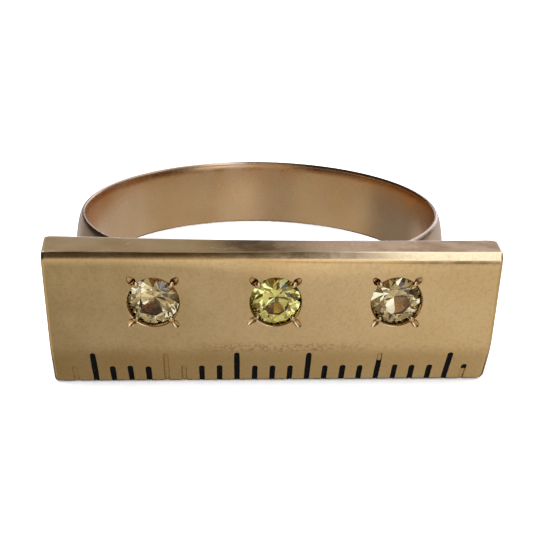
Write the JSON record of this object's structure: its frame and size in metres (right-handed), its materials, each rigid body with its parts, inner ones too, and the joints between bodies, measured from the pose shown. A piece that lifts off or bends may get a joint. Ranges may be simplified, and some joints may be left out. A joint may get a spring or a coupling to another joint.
{
  "type": "finger ring with ruler bar head",
  "caption": "Gold finger ring whose head is a bar shaped like a bevelled rule, set with pale yellow stones and engraved with enamelled graduations.",
  "frame": {"origin": "on the axis of the finger hole, at the middle of the band's width", "axes": "+Z along the finger hole, towards the bar's plain edge; the bar's face looks along -Y; +X along the bar, to the right when facing it"},
  "size_m": [0.0206, 0.0225, 0.0064],
  "materials": {
    "bar_gold": "worn polished yellow gold with a fine satin haze",
    "band_gold": "satin rose-tinted yellow gold",
    "solder": "slightly paler gold solder, unpolished",
    "stone_champagne": "faceted pale champagne gemstone",
    "stone_lemon": "faceted pale lemon-green gemstone",
    "enamel_black": "glossy black enamel"
  },
  "bodies": {
    "root": {"ruler_bar": "bar_gold", "band": "band_gold", "solder_seam": "solder", "stone_left": "stone_champagne", "stone_centre": "stone_lemon", "stone_right": "stone_champagne", "enamel_02": "enamel_black", "enamel_03": "enamel_black", "enamel_04": "enamel_black", "enamel_05": "enamel_black", "enamel_08": "enamel_black", "enamel_09": "enamel_black", "enamel_10": "enamel_black", "enamel_11": "enamel_black", "enamel_12": "enamel_black", "enamel_13": "enamel_black", "enamel_14": "enamel_black", "enamel_15": "enamel_black", "enamel_16": "enamel_black", "enamel_17": "enamel_black", "enamel_18": "enamel_black", "enamel_19": "enamel_black", "enamel_20": "enamel_black", "enamel_21": "enamel_black", "enamel_22": "enamel_black", "enamel_23": "enamel_black"}
  },
  "joints": []
}
